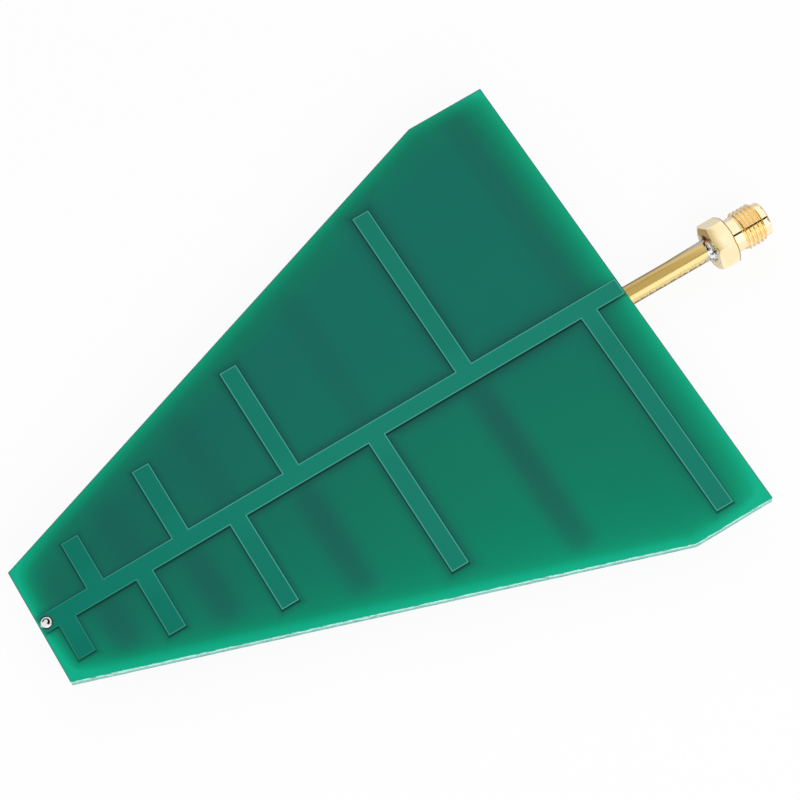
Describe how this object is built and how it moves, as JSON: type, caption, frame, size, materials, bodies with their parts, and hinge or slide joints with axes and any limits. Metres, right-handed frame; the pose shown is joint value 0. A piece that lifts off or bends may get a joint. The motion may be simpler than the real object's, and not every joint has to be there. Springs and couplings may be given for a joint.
{
  "type": "log periodic antenna",
  "caption": "Log periodic antenna etched on both faces of a tapered circuit board, fed by a rigid coax with a threaded jack.",
  "frame": {"origin": "centre of the jack's reference plane, on the coax axis", "axes": "+X along the coax axis, out of the jack's mouth; +Z out of the board's front face; +Y across the board"},
  "size_m": [0.1252, 0.0807, 0.0075],
  "materials": {
    "laminate": "glass cloth and epoxy laminate with a cut edge",
    "copper": "etched copper foil",
    "solder_mask": "green solder mask, glossy",
    "coax_brass": "drawn tube, slightly tarnished",
    "dielectric": "white fluoroplastic",
    "silvered_wire": "silver-plated wire",
    "solder": "solder as it set",
    "gold_plate": "gold plate on turned brass"
  },
  "bodies": {
    "root": {"laminate": "laminate", "front_copper": "copper", "back_copper": "copper", "front_mask": "solder_mask", "back_mask": "solder_mask", "coax_jacket": "coax_brass", "coax_dielectric": "dielectric", "centre_wire": "silvered_wire", "feed_joint": "solder", "solder_tack_1": "solder", "solder_tack_2": "solder", "solder_tack_3": "solder", "solder_tack_4": "solder", "solder_tack_5": "solder", "solder_tack_6": "solder", "jack_body": "gold_plate", "jack_insulator": "dielectric", "jack_contact": "gold_plate", "jack_solder": "solder"}
  },
  "joints": []
}
